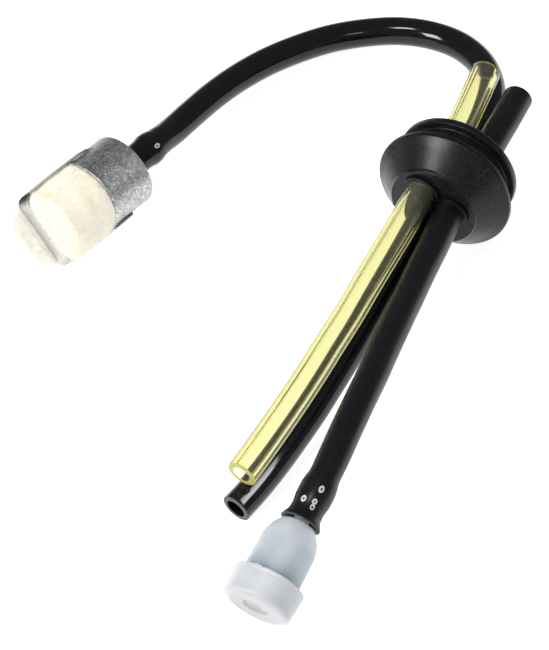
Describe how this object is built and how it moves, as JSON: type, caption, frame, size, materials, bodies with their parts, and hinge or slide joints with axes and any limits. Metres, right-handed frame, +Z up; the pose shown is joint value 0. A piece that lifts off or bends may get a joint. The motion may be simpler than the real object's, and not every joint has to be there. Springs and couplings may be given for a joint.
{
  "type": "fuel filter",
  "caption": "Small-engine fuel pickup filter in a steel can on a looped hose, with a tank grommet, clear return hose and a vent hose ending in a one-way vent valve.",
  "frame": {"origin": "on the surface the set lies on, under the centre of the box of its solid pieces", "axes": "+Z up, +Y from the vent valve towards the hose loop, +X from the filter towards the grommet"},
  "size_m": [0.1031, 0.1583, 0.028],
  "materials": {
    "grommet_rubber": "satin moulded charcoal rubber",
    "black_hose": "glossy extruded black rubber",
    "clear_hose": "glossy translucent yellow vinyl",
    "zinc_steel": "mottled zinc plating",
    "spring_steel": "smooth bright strip",
    "felt": "soft warm cream needle felt",
    "white_nylon": "plain moulded nylon",
    "brass_stem": "turned and plain",
    "seal_rubber": "matt black",
    "milky_plastic": "milky bluish-white translucent polyethylene"
  },
  "bodies": {
    "grommet": {"tank_grommet": "grommet_rubber", "suction_hose": "black_hose", "return_hose": "clear_hose", "vent_hose": "black_hose"},
    "suction_end": {"suction_hose_end": "black_hose"},
    "pickup_filter": {"filter_can": "zinc_steel", "retaining_strap": "spring_steel", "felt_element": "felt", "filter_core": "white_nylon", "filter_nipple": "brass_stem", "nipple_gasket": "seal_rubber"},
    "return_end": {"return_hose_end": "clear_hose"},
    "vent_end": {"vent_hose_end": "black_hose"},
    "vent_valve": {"vent_body": "milky_plastic", "vent_cap": "milky_plastic", "vent_seat": "white_nylon", "vent_filter_pad": "felt", "vent_spring": "spring_steel"},
    "check_disc": {"vent_check_disc": "seal_rubber"}
  },
  "joints": [
    {"name": "suction_hose_flex", "type": "hinge", "parent": "grommet", "child": "suction_end", "pos_m": [0.03369, 0.09322, 0.00673], "axis": [0, 0, 1], "range_deg": [-12, 12], "stiffness_Nm_per_rad": 0.005},
    {"name": "filter_swivel", "type": "hinge", "parent": "suction_end", "child": "pickup_filter", "pos_m": [-0.0285, 0.0521, 0.00775], "axis": [0.6476, 0.762, 0], "continuous": true},
    {"name": "return_hose_flex", "type": "hinge", "parent": "grommet", "child": "return_end", "pos_m": [0.02297, 0.02011, 0.01659], "axis": [0, 0, 1], "range_deg": [-12, 0], "stiffness_Nm_per_rad": 0.005},
    {"name": "vent_hose_flex", "type": "hinge", "parent": "grommet", "child": "vent_end", "pos_m": [0.0297, 0.01677, 0.01482], "axis": [0, 0, 1], "range_deg": [0, 12], "stiffness_Nm_per_rad": 0.005},
    {"name": "vent_valve_swivel", "type": "hinge", "parent": "vent_end", "child": "vent_valve", "pos_m": [-0.00154, -0.05735, 0.00632], "axis": [0.451, 0.8405, 0.3002], "continuous": true},
    {"name": "vent_check_lift", "type": "slide", "parent": "vent_valve", "child": "check_disc", "axis": [0.451, 0.8405, 0.3002], "range_m": [0, 0.0008], "stiffness_N_per_m": 40, "springref_m": -0.0005, "deforming": ["vent_spring"]}
  ]
}
